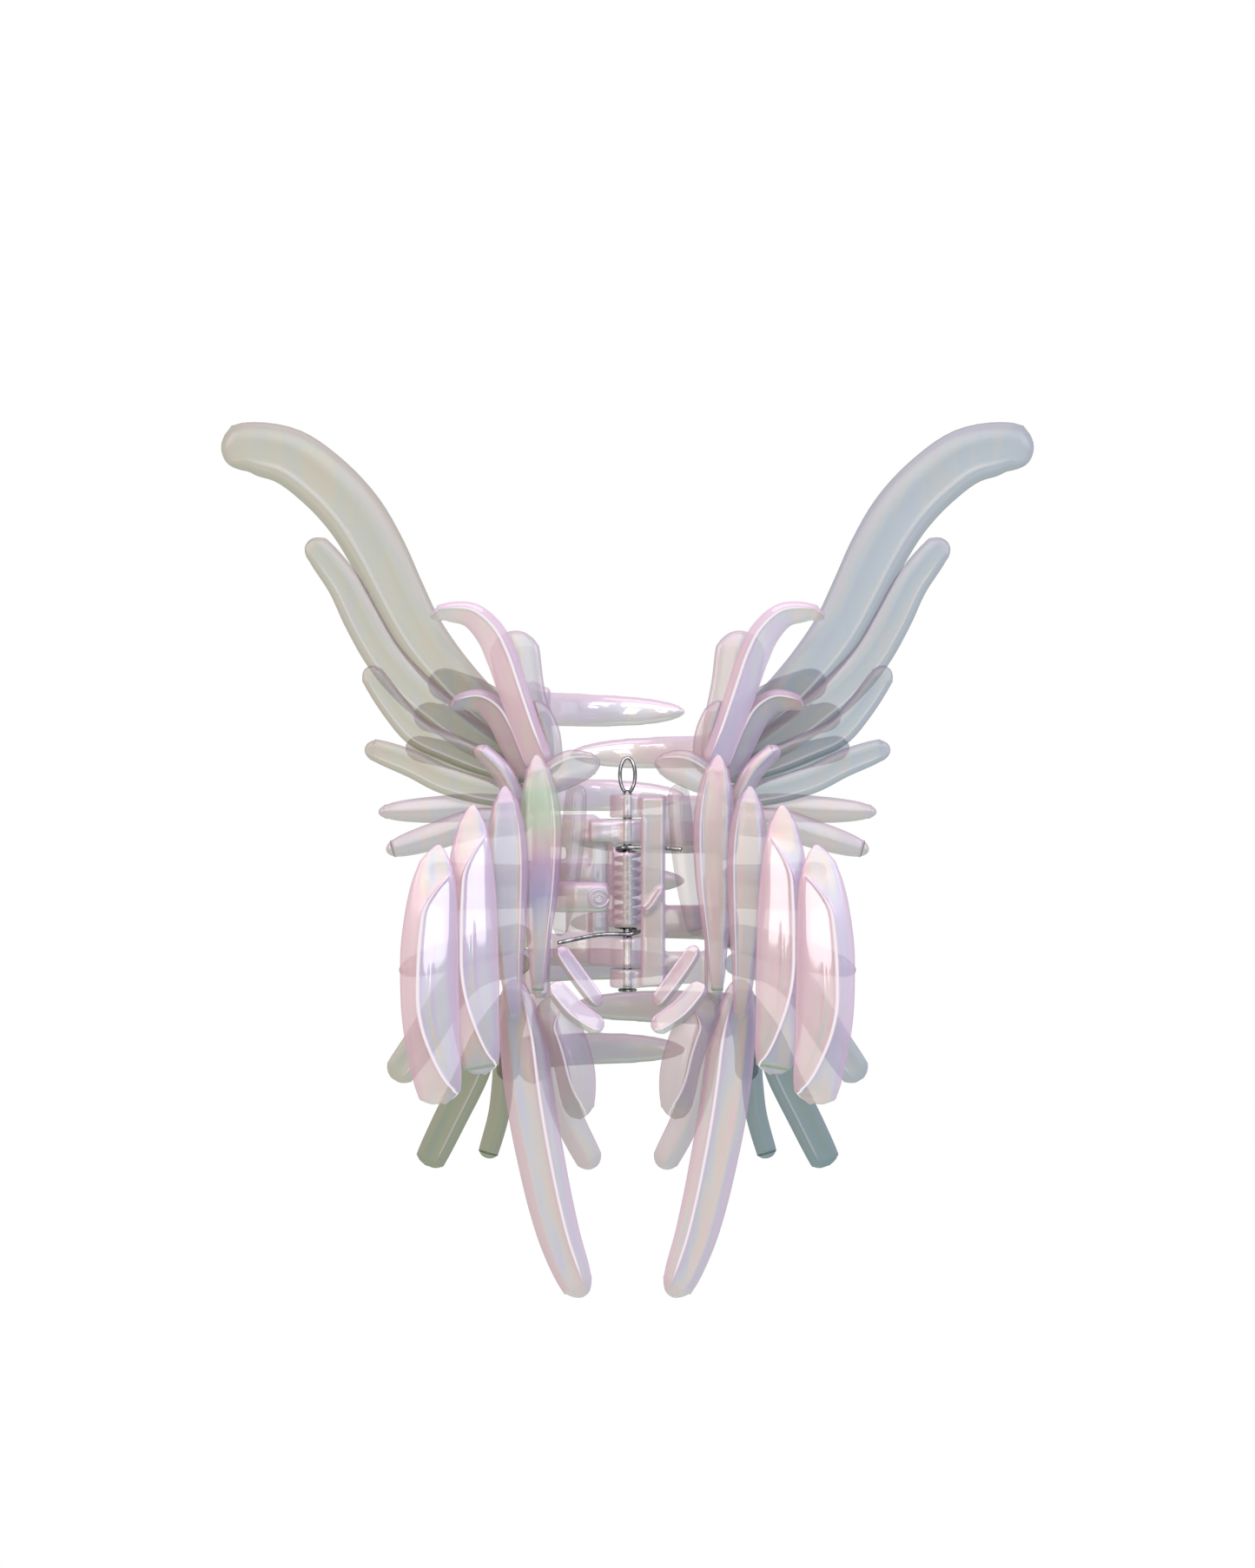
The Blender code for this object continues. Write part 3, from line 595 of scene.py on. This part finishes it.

# Families of resin. cover is how much of the light from behind the front surface stops. shine is how strongly
# it mirrors the room, polish is the roughness of that mirror and ridge is how strongly the painted highlight
# glows on ridges.
Looks = namedtuple("Looks", "cover brightness shine polish ridge")
FAMILIES = {
    "thin": Looks(0.6, 0.3, 0.007, 0.2, 0.2),
    "deep": Looks(0.68, 0.19, 0.012, 0.15, 0.2),
    "matt": Looks(0.62, 0.5, 0.015, 0.1, 0.5),
    "faint": Looks(0.36, 0.5, 0.02, 0.1, 0.5),
    "half": Looks(0.72, 0.7, 0.03, 0.06, 0.7),
    "long": Looks(0.74, 0.76, 0.012, 0.12, 0.9),
    "full": Looks(0.77, 0.88, 0.08, 0.04, 0.95),
    "hinge": Looks(0.64, 0.74, 0.025, 0.06, 0),
    "tooth": Looks(0.68, 0.82, 0.085, 0.05, 0),
    # a darker copy of the tooth resin: painted shade on the lower teeth
    "shaded_low_tooth": Looks(0.74, 0.46, 0.02, 0.08, 0),
}
# how far a surface turns sideways before its pearl colour and painted light have changed fully, on feathers
# and on the jaws
FEATHER_SPREAD = 0.5
JAW_SPREAD = 1.0
JAW_FAMILIES = ("hinge", "tooth", "shaded_low_tooth")
# the family of each kind of feather, or of one feather; the others are full
FAMILY_OF = {
    "primary": "thin", "primary_5": "matt", "primary_6": "matt", "secondary": "thin",
    "tail_1": "deep", "tail_2": "deep", "tail_3": "deep", "tail_4": "long", "tail_5": "matt",
    "tail_6": "matt", "covert_3": "half", "covert_4": "half", "curl_2": "half", "curl_3": "half",
    "crest": "matt", "inner": "half", "lever_petal": "matt", "lever_blade": "faint"}
# what a family lets through on the left and on the right wing, where it isn't the common tint
TINTS = {
    "thin": ((0.96, 0.97, 0.86), (0.87, 0.95, 0.98)),
    "deep": ((0.82, 0.88, 0.70), (0.68, 0.85, 0.86)),
}
COMMON_TINT = (0.97, 0.965, 0.95)
# painted reflection colours down one blade, green, pink and violet: height, colour and strength
PAINTED_REFLECTION_BANDS = {
    "left_covert_4": (
        (42 * MM, (0.55, 0.70, 0.50), 0.0), (37 * MM, (0.50, 0.74, 0.50), 0.75),
        (31 * MM, (0.56, 0.72, 0.46), 0.7), (28 * MM, (0.80, 0.52, 0.50), 0.6),
        (25 * MM, (0.62, 0.36, 0.58), 0.75), (18 * MM, (0.40, 0.38, 0.68), 0.6),
        (11 * MM, (0.56, 0.56, 0.72), 0.0))}
BAND_WAVER = 12 * MM  # the bands' edges wander up and down by half of this

# painted glow, standing for light that passes through the resin and lightens its creases
PAINTED_GLOW = 0.14  # light that the skin gives off
BACK_COVER = 0.06  # how much the inside of a surface covers
WHITE = (1, 1, 1)


# ---- shader nodes ----
def node_tree(name):
    made = bpy.data.materials.new(name)
    made.use_nodes = True
    tree = made.node_tree
    tree.nodes.clear()
    return made, tree.nodes, tree.links


def ramp(nodes, links, factor, stops, interpolation="EASE"):
    """A colour ramp over a factor; a stop's colour may have its own alpha."""
    made = nodes.new("ShaderNodeValToRGB")
    made.color_ramp.interpolation = interpolation
    elements = made.color_ramp.elements
    while len(elements) < len(stops):
        elements.new(0.5)
    for element, (place, colour) in zip(elements, stops):
        element.position = place
        element.color = (*colour, 1) if len(colour) == 3 else colour
    links.new(factor, made.inputs["Fac"])
    return made.outputs


def math_node(nodes, links, operation, a, b):
    made = nodes.new("ShaderNodeMath")
    made.operation = operation
    for socket, value in zip(made.inputs, (a, b)):
        if isinstance(value, (int, float)):
            socket.default_value = value
        else:
            links.new(value, socket)
    return made.outputs[0]


def map_range(nodes, links, value, low, high, to_low=0.0, to_high=1.0, smooth=True):
    made = nodes.new("ShaderNodeMapRange")
    made.interpolation_type = "SMOOTHSTEP" if smooth else "LINEAR"
    for name, number in (("From Min", low), ("From Max", high), ("To Min", to_low), ("To Max", to_high)):
        made.inputs[name].default_value = number
    links.new(value, made.inputs["Value"])
    return made.outputs["Result"]


def blended(nodes, links, factor, first, second):
    """A colour mix; each end is a colour or a socket."""
    made = nodes.new("ShaderNodeMix")
    made.data_type = "RGBA"
    links.new(factor, made.inputs["Factor"])
    for socket, value in ((made.inputs[6], first), (made.inputs[7], second)):
        if isinstance(value, tuple):
            socket.default_value = (*value, 1)
        else:
            links.new(value, socket)
    return made.outputs[2]


def layered(nodes, links, factor, under, over):
    made = nodes.new("ShaderNodeMixShader")
    links.new(factor, made.inputs["Fac"])
    links.new(under, made.inputs[1])
    links.new(over, made.inputs[2])
    return made.outputs[0]


def noise(nodes, links, vector, scale, detail, distortion=0.0):
    made = nodes.new("ShaderNodeTexNoise")
    made.inputs["Scale"].default_value = scale
    made.inputs["Detail"].default_value = detail
    made.inputs["Distortion"].default_value = distortion
    links.new(vector, made.inputs["Vector"])
    return made.outputs["Fac"]


def swing(nodes, links, value, amount):
    """A noise as a change of up to half the amount either way."""
    centred = math_node(nodes, links, "SUBTRACT", value, 0.5)
    return math_node(nodes, links, "MULTIPLY", centred, amount)


def mapped(nodes, links, vector, location=(0, 0, 0), scale=(1, 1, 1)):
    made = nodes.new("ShaderNodeMapping")
    made.inputs["Location"].default_value = location
    made.inputs["Scale"].default_value = scale
    links.new(vector, made.inputs["Vector"])
    return made.outputs["Vector"]


def components(nodes, links, vector):
    made = nodes.new("ShaderNodeSeparateXYZ")
    links.new(vector, made.inputs["Vector"])
    return made.outputs


def attribute(nodes, name):
    made = nodes.new("ShaderNodeAttribute")
    made.attribute_name = name
    return made.outputs["Fac"]


# ---- pearl resin ----
def with_painted_bands(nodes, links, height, colour, painted_bands):
    """Lays stripes of painted reflection colour over a colour, by height."""
    painted_bands = sorted(painted_bands)
    low, high = painted_bands[0][0], painted_bands[-1][0]
    stops = [((z - low) / (high - low), (*tone, strength)) for z, tone, strength in painted_bands]
    place = map_range(nodes, links, height, low, high, smooth=False)
    laid = ramp(nodes, links, place, stops, "LINEAR")
    return blended(nodes, links, laid["Alpha"], colour, laid["Color"])


def pearl_and_painted_light(nodes, links, normal, facing, place, vector, spread, painted_bands):
    """Pearl colour with painted light: peach pink where a surface faces left and lavender where it faces
    right, painted light on top and green painted light underneath, painted shade at its edges, and painted
    reflection stripes where given.
    """
    cloud = noise(nodes, links, vector, 34, 2, 0.6)
    drift = swing(nodes, links, cloud, 0.5)
    drawn_out = mapped(nodes, links, vector, scale=(1, 1, 0.12))
    streak = swing(nodes, links, noise(nodes, links, drawn_out, 300, 2), 0.5)
    way = components(nodes, links, normal)
    sideways = math_node(nodes, links, "ADD", way["X"], math_node(nodes, links, "ADD", drift, streak))
    colour = ramp(nodes, links, map_range(nodes, links, sideways, -spread, spread), PEARL_AND_PAINTED_LIGHT_HUES)["Color"]
    up = math_node(nodes, links, "ADD", way["Z"], drift)
    down = math_node(nodes, links, "SUBTRACT", drift, way["Z"])
    # painted light on surfaces that face up and down, and painted shade where a surface turns away at its
    # edges
    colour = blended(nodes, links, map_range(nodes, links, up, 0.06, 0.5), colour, PAINTED_TOP_LIGHT)
    colour = blended(nodes, links, map_range(nodes, links, down, 0.12, 0.8), colour, PAINTED_UNDERSIDE_LIGHT)
    colour = blended(nodes, links, map_range(nodes, links, facing, 0.72, 1.0), colour, PAINTED_EDGE_SHADE)
    # painted reflection stripes, on the one blade that has them
    if painted_bands:
        waver = swing(nodes, links, cloud, BAND_WAVER)
        height = math_node(nodes, links, "ADD", components(nodes, links, place)["Z"], waver)
        colour = with_painted_bands(nodes, links, height, colour, painted_bands)
    return colour


def ripples(nodes, links, vector):
    """Slight waves in the surface."""
    made = nodes.new("ShaderNodeBump")
    made.inputs["Strength"].default_value = 0.05
    made.inputs["Distance"].default_value = 0.4 * MM
    links.new(noise(nodes, links, vector, 150, 1), made.inputs["Height"])
    return made.outputs["Normal"]


def skin(nodes, links, colour, brightness, normal):
    """The faintly metallic layer that carries the colour, with a faint painted glow that stands for light
    passing through the resin.
    """
    shade = nodes.new("ShaderNodeHueSaturation")
    shade.inputs["Saturation"].default_value = 1.15
    shade.inputs["Value"].default_value = brightness
    links.new(colour, shade.inputs["Color"])
    made = nodes.new("ShaderNodeBsdfPrincipled")
    made.inputs["Metallic"].default_value = 0.18
    made.inputs["Roughness"].default_value = 0.38
    made.inputs["IOR"].default_value = 1.5
    # painted glow: the skin gives off a little of its own colour
    made.inputs["Emission Strength"].default_value = PAINTED_GLOW
    links.new(shade.outputs["Color"], made.inputs["Base Color"])
    links.new(shade.outputs["Color"], made.inputs["Emission Color"])
    links.new(normal, made.inputs["Normal"])
    return made.outputs[0]


def mirror(nodes, links, facing, front, shine):
    """How much of the mirror layer shows: more at the rims, less inside and on dull facets."""
    at_rims = math_node(nodes, links, "MULTIPLY", math_node(nodes, links, "POWER", facing, 4), 0.06)
    amount = math_node(nodes, links, "ADD", at_rims, shine)
    amount = math_node(nodes, links, "MULTIPLY", amount, math_node(nodes, links, "MAXIMUM", front, 0.25))
    bright = math_node(nodes, links, "SUBTRACT", 1.0, attribute(nodes, "dull"))
    return math_node(nodes, links, "MULTIPLY", amount, bright)


def pearl(name, tint, looks, seed, spread, painted_bands=()):
    """Pearl resin: a clear tint, a skin over it with a faint painted glow, a thin mirror, and a painted
    highlight that glows white along the ridges.
    """
    made, nodes, links = node_tree(name)
    weight = nodes.new("ShaderNodeLayerWeight")
    weight.inputs["Blend"].default_value = 0.5
    facing = weight.outputs["Facing"]
    geometry = nodes.new("ShaderNodeNewGeometry").outputs
    front = math_node(nodes, links, "SUBTRACT", 1.0, geometry["Backfacing"])
    place = nodes.new("ShaderNodeTexCoord").outputs["Object"]
    vector = mapped(nodes, links, place, location=(seed, 0.37 * seed, 0))
    colour = pearl_and_painted_light(nodes, links, geometry["Normal"], facing, place, vector, spread, painted_bands)
    normal = ripples(nodes, links, vector)

    clear = nodes.new("ShaderNodeBsdfTransparent")
    clear.inputs["Color"].default_value = (*tint, 1)
    cover = map_range(nodes, links, facing, 0.35, 1.0, looks.cover, min(0.95, looks.cover + 0.2))
    cover = math_node(nodes, links, "MAXIMUM", math_node(nodes, links, "MULTIPLY", cover, front), BACK_COVER)
    glowing_skin = skin(nodes, links, colour, looks.brightness, normal)
    body = layered(nodes, links, cover, clear.outputs[0], glowing_skin)

    gloss = nodes.new("ShaderNodeBsdfGlossy")
    gloss.inputs["Roughness"].default_value = looks.polish
    gloss.inputs["Color"].default_value = (*GLARE_WHITE, 1)
    links.new(normal, gloss.inputs["Normal"])
    body = layered(nodes, links, mirror(nodes, links, facing, front, looks.shine), body, gloss.outputs[0])

    # painted highlight: white light glows from the surface along the ridge marks
    painted_ridge_glow = nodes.new("ShaderNodeEmission")
    painted_ridge_glow.inputs["Color"].default_value = (*PAINTED_RIDGE_HIGHLIGHT, 1)
    painted_ridge_glow.inputs["Strength"].default_value = 0.93
    ridge = map_range(nodes, links, attribute(nodes, "ridge"), 0.25, 0.9, 0.0, looks.ridge)
    output = nodes.new("ShaderNodeOutputMaterial")
    links.new(layered(nodes, links, ridge, body, painted_ridge_glow.outputs[0]), output.inputs["Surface"])
    return made


# ---- other materials ----
def steel():
    """Bright drawn wire with a fine grain, made dark as painted shade for the dark surroundings that it
    mirrors.
    """
    made, nodes, links = node_tree("bright_spring_steel")
    output = nodes.new("ShaderNodeOutputMaterial")
    body = nodes.new("ShaderNodeBsdfPrincipled")
    grain = noise(nodes, links, nodes.new("ShaderNodeTexCoord").outputs["Object"], 900, 4)
    # painted shade: a dark tone that stands for the dark surroundings the wire mirrors; the grain varies it
    tone = ramp(nodes, links, grain, ((0.3, (0.14, 0.14, 0.15)), (0.7, (0.4, 0.4, 0.41))))
    rough = ramp(nodes, links, grain, ((0.3, (0.08,) * 3), (0.7, (0.2,) * 3)))
    body.inputs["Metallic"].default_value = 1
    links.new(tone["Color"], body.inputs["Base Color"])
    links.new(rough["Color"], body.inputs["Roughness"])
    links.new(body.outputs[0], output.inputs["Surface"])
    return made


def pale_stage():
    """A bright matt surface for the floor and backdrop."""
    made, nodes, links = node_tree("pale_stage")
    output = nodes.new("ShaderNodeOutputMaterial")
    white = nodes.new("ShaderNodeEmission")
    white.inputs["Color"].default_value = (*WHITE, 1)
    white.inputs["Strength"].default_value = 1.0
    links.new(white.outputs[0], output.inputs["Surface"])
    return made


# ---- stage, light and camera ----
STAGE_HALF_WIDTH = 1.6
AIM = (0, -0.02, 0.01)
PINK_LIGHT = (1.0, 0.84, 0.86)
BLUE_LIGHT = (0.86, 0.86, 1.0)
LILAC_LIGHT = (1.0, 0.86, 0.97)
GREEN_LIGHT = (0.8, 1.0, 0.84)
KEY_TURN = math.radians(12)
# brightness of the room seen in reflections, from below to above
ROOM = ((0.0, (0.4,) * 3), (0.5, (0.6,) * 3), (0.8, (0.75,) * 3), (1.0, (0.85,) * 3))
CAMERA_DISTANCE = 450 * MM
CAMERA_HEIGHT = 39.8 * MM
PICTURE_HEIGHT = 301 * MM  # what the picture covers at the hinge
SENSOR_HEIGHT = 24  # millimetres


def stage():
    """A pale floor that sweeps up into a backdrop, far behind the clip."""
    low = cad_box[0][2] - 4 * MM
    profile = ((-0.7, low), (0.5, low), (0.62, low + 0.02), (0.7, low + 0.08), (0.72, low + 0.2), (0.72, 1.2))
    points = [(x, y, z) for y, z in profile for x in (-STAGE_HALF_WIDTH, STAGE_HALF_WIDTH)]
    faces = [(2 * i, 2 * i + 1, 2 * i + 3, 2 * i + 2) for i in range(len(profile) - 1)]
    mesh = bpy.data.meshes.new("floor")
    mesh.from_pydata(points, [], faces)
    mesh.shade_smooth()
    mesh.materials.append(pale_stage())
    floor = bpy.data.objects.new("floor", mesh)
    bpy.context.scene.collection.objects.link(floor)
    floor.visible_glossy = False
    floor.visible_diffuse = False


def softbox(name, place, width, height, radiance, colour=WHITE, diffuse=True):
    """A rectangular light aimed at the clip. Without diffuse it shows only in reflections."""
    light = bpy.data.lights.new(name, "AREA")
    light.shape = "RECTANGLE"
    light.size = width
    light.size_y = height
    light.energy = radiance * math.pi * width * height
    light.color = colour
    lamp = bpy.data.objects.new(name, light)
    bpy.context.scene.collection.objects.link(lamp)
    lamp.location = place
    lamp.rotation_euler = (Vector(AIM) - Vector(place)).to_track_quat("-Z", "Y").to_euler()
    lamp.visible_diffuse = diffuse
    return lamp


def lights():
    for name, side, colour in (("left", -1, PINK_LIGHT), ("right", 1, BLUE_LIGHT)):
        key = softbox(f"key_{name}", (side * 0.095, -0.49, 0.065), 0.09, 0.2, 4.3, diffuse=False)
        key.rotation_euler.rotate_axis("Z", side * KEY_TURN)
        softbox(f"high_{name}", (side * 0.36, -0.46, 0.25), 0.2, 0.25, 6.0, diffuse=False)
        softbox(f"side_{name}", (side * 0.55, -0.16, 0.06), 0.3, 0.4, 0.6, colour)
    softbox("front_top", (0, -0.55, 0.36), 0.42, 0.3, 5.0, diffuse=False)
    softbox("overhead", (0, -0.20, 0.55), 0.45, 0.25, 2.2, LILAC_LIGHT)
    softbox("underneath", (0, -0.20, -0.5), 0.45, 0.25, 1.2, GREEN_LIGHT)


def room():
    """A pale room: white to the camera, and a little darker below in reflections."""
    world = bpy.data.worlds.new("studio")
    world.use_nodes = True
    nodes, links = world.node_tree.nodes, world.node_tree.links
    nodes.clear()
    output = nodes.new("ShaderNodeOutputWorld")
    back = nodes.new("ShaderNodeBackground")
    way = components(nodes, links, nodes.new("ShaderNodeTexCoord").outputs["Generated"])
    level = map_range(nodes, links, way["Z"], -1, 1, smooth=False)
    tone = ramp(nodes, links, level, ROOM)["Color"]
    seen = nodes.new("ShaderNodeLightPath").outputs["Is Camera Ray"]
    links.new(blended(nodes, links, seen, tone, WHITE), back.inputs["Color"])
    back.inputs["Strength"].default_value = 1.0
    links.new(back.outputs[0], output.inputs["Surface"])
    bpy.context.scene.world = world


def camera():
    """Level camera square to the clip."""
    data = bpy.data.cameras.new("camera")
    data.sensor_fit = "VERTICAL"
    data.sensor_height = SENSOR_HEIGHT
    data.lens = SENSOR_HEIGHT * CAMERA_DISTANCE / PICTURE_HEIGHT
    data.clip_start = 10 * MM
    view = bpy.data.objects.new("camera", data)
    view.location = (0, -CAMERA_DISTANCE, CAMERA_HEIGHT)
    view.rotation_euler = (math.radians(90), 0, 0)
    bpy.context.scene.collection.objects.link(view)
    bpy.context.scene.camera = view


# ---- the clip ----
def resins_of(word, side):
    """One pearl resin of each family, for a wing."""
    made = {}
    for number, (family, looks) in enumerate(FAMILIES.items()):
        tint = TINTS.get(family, (COMMON_TINT, COMMON_TINT))[side > 0]
        spread = JAW_SPREAD if family in JAW_FAMILIES else FEATHER_SPREAD
        made[family] = pearl(f"pearl_{family}_{word}", tint, looks, 3.0 + 4 * number + side, spread)
    return made


def wing(word, side):
    resins = resins_of(word, side)
    for node in frame["record"]["behaviour"]["bodies"][f"{word}_wing"]:
        plain = node.split("_", 1)[1]
        if plain == "jaw":
            moulding = jaw(node, word, resins)
            if side < 0:
                ring_on_arm(node, word, moulding, resins["half"])
            continue
        family = FAMILY_OF.get(plain) or FAMILY_OF.get(plain.split("_")[0], "full")
        resin = resins[family]
        # this blade gets painted reflection stripes
        if node in PAINTED_REFLECTION_BANDS:
            resin = pearl(f"pearl_{node}", COMMON_TINT, FAMILIES[family], 9.0, FEATHER_SPREAD, PAINTED_REFLECTION_BANDS[node])
        feather(node, side, word, resin)


metal = steel()
wing("left", -1)
wing("right", 1)
spring(metal)
pin(metal)
stage()
lights()
room()
camera()
scene = bpy.context.scene
scene.view_settings.view_transform = "Standard"
scene.cycles.transparent_max_bounces = 40
scene.cycles.max_bounces = 8
